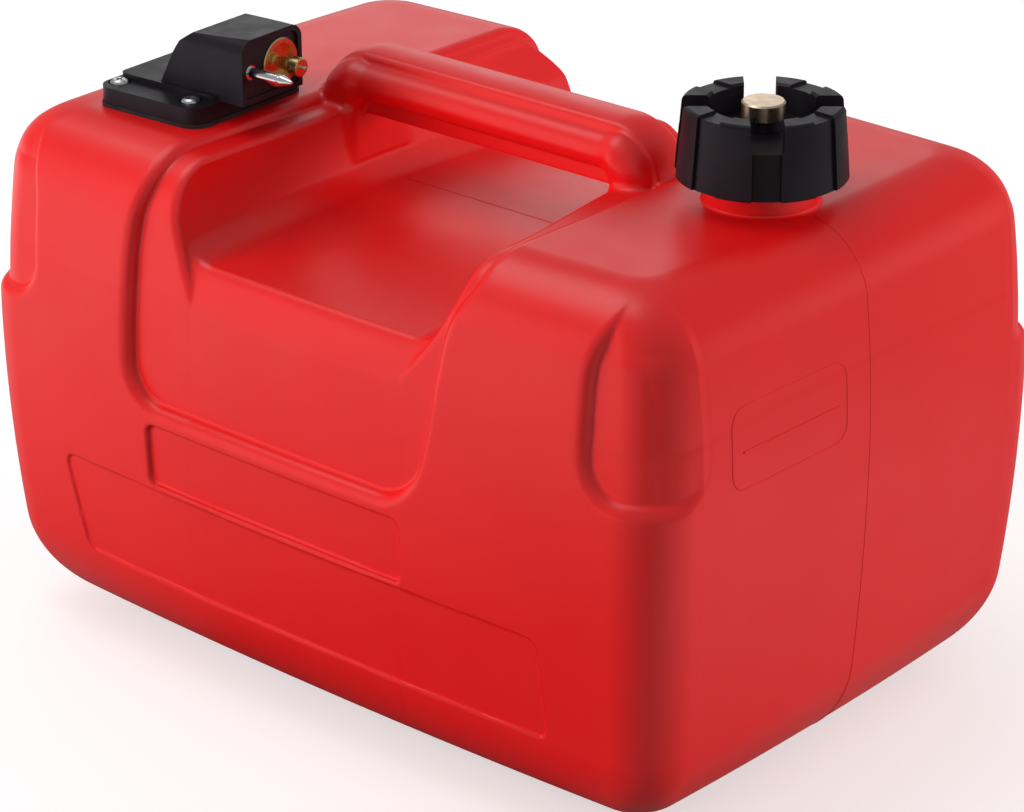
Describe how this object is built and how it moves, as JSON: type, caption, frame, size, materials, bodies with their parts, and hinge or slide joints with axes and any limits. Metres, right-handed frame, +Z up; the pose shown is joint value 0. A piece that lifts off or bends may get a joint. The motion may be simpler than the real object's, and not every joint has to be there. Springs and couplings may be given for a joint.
{
  "type": "portable fuel tank",
  "caption": "Portable fuel tank for an outboard motor with a carry handle, a vented screw cap and a hooded fuel outlet.",
  "frame": {"origin": "on the floor under the middle of the tank", "axes": "+X along the handle towards the filler cap, +Y to the back, +Z up; the fuel outlet is at the -X end, towards the front"},
  "size_m": [0.35, 0.2446, 0.2506],
  "materials": {
    "red_tank": "satin, moulded polyethylene",
    "black_plastic": "satin",
    "clear_plastic": "translucent white",
    "brass_metal": "turned",
    "steel_metal": "zinc plated",
    "pin_steel": "polished",
    "rubber_black": "matt"
  },
  "bodies": {
    "tank": {"tank_shell": "red_tank", "carry_handle": "red_tank", "filler_neck": "red_tank", "outlet_inserts": "brass_metal", "outlet_gasket": "rubber_black", "outlet_housing": "black_plastic", "housing_screws": "steel_metal", "connector_flange": "brass_metal", "flange_nut": "brass_metal", "fuel_stem": "brass_metal", "valve_spring": "steel_metal", "guide_pin": "pin_steel", "guide_pin_nut": "steel_metal", "feed_hose": "rubber_black", "hose_clips": "steel_metal", "pickup_fitting": "black_plastic", "fitting_seal": "rubber_black", "pickup_tube": "clear_plastic", "tube_clip": "steel_metal", "strainer_body": "clear_plastic", "strainer_screen": "steel_metal"},
    "gasket": {"cap_gasket": "rubber_black"},
    "cap": {"filler_cap": "black_plastic", "cap_insert": "clear_plastic", "vent_bush": "brass_metal"},
    "vent_seal": {"vent_o_ring": "rubber_black"},
    "vent_knob": {"vent_screw": "brass_metal"},
    "valve": {"valve_pin": "steel_metal", "valve_seal": "rubber_black"}
  },
  "joints": [
    {"name": "cap_lift", "type": "slide", "parent": "tank", "child": "gasket", "axis": [0, 0, 1], "range_m": [0, 0.01125]},
    {"name": "cap_turn", "type": "hinge", "parent": "gasket", "child": "cap", "pos_m": [0.1229, 0, 0.235], "axis": [0, 0, 1], "range_deg": [0, 810]},
    {"name": "vent_lift", "type": "slide", "parent": "cap", "child": "vent_seal", "axis": [0, 0, 1], "range_m": [0, 0.002]},
    {"name": "vent_turn", "type": "hinge", "parent": "vent_seal", "child": "vent_knob", "pos_m": [0.1229, 0, 0.244], "axis": [0, 0, 1], "range_deg": [0, 720]},
    {"name": "valve_push", "type": "slide", "parent": "tank", "child": "valve", "axis": [-0.9981, -0.061, 0], "range_m": [0, 0.0018], "stiffness_N_per_m": 400, "springref_m": -0.002, "deforming": ["valve_spring"]}
  ],
  "couplings": [
    {"joint": "cap_turn", "follows": "cap_lift", "rad_per_m": 1256.6},
    {"joint": "vent_turn", "follows": "vent_lift", "rad_per_m": 6283.2}
  ]
}
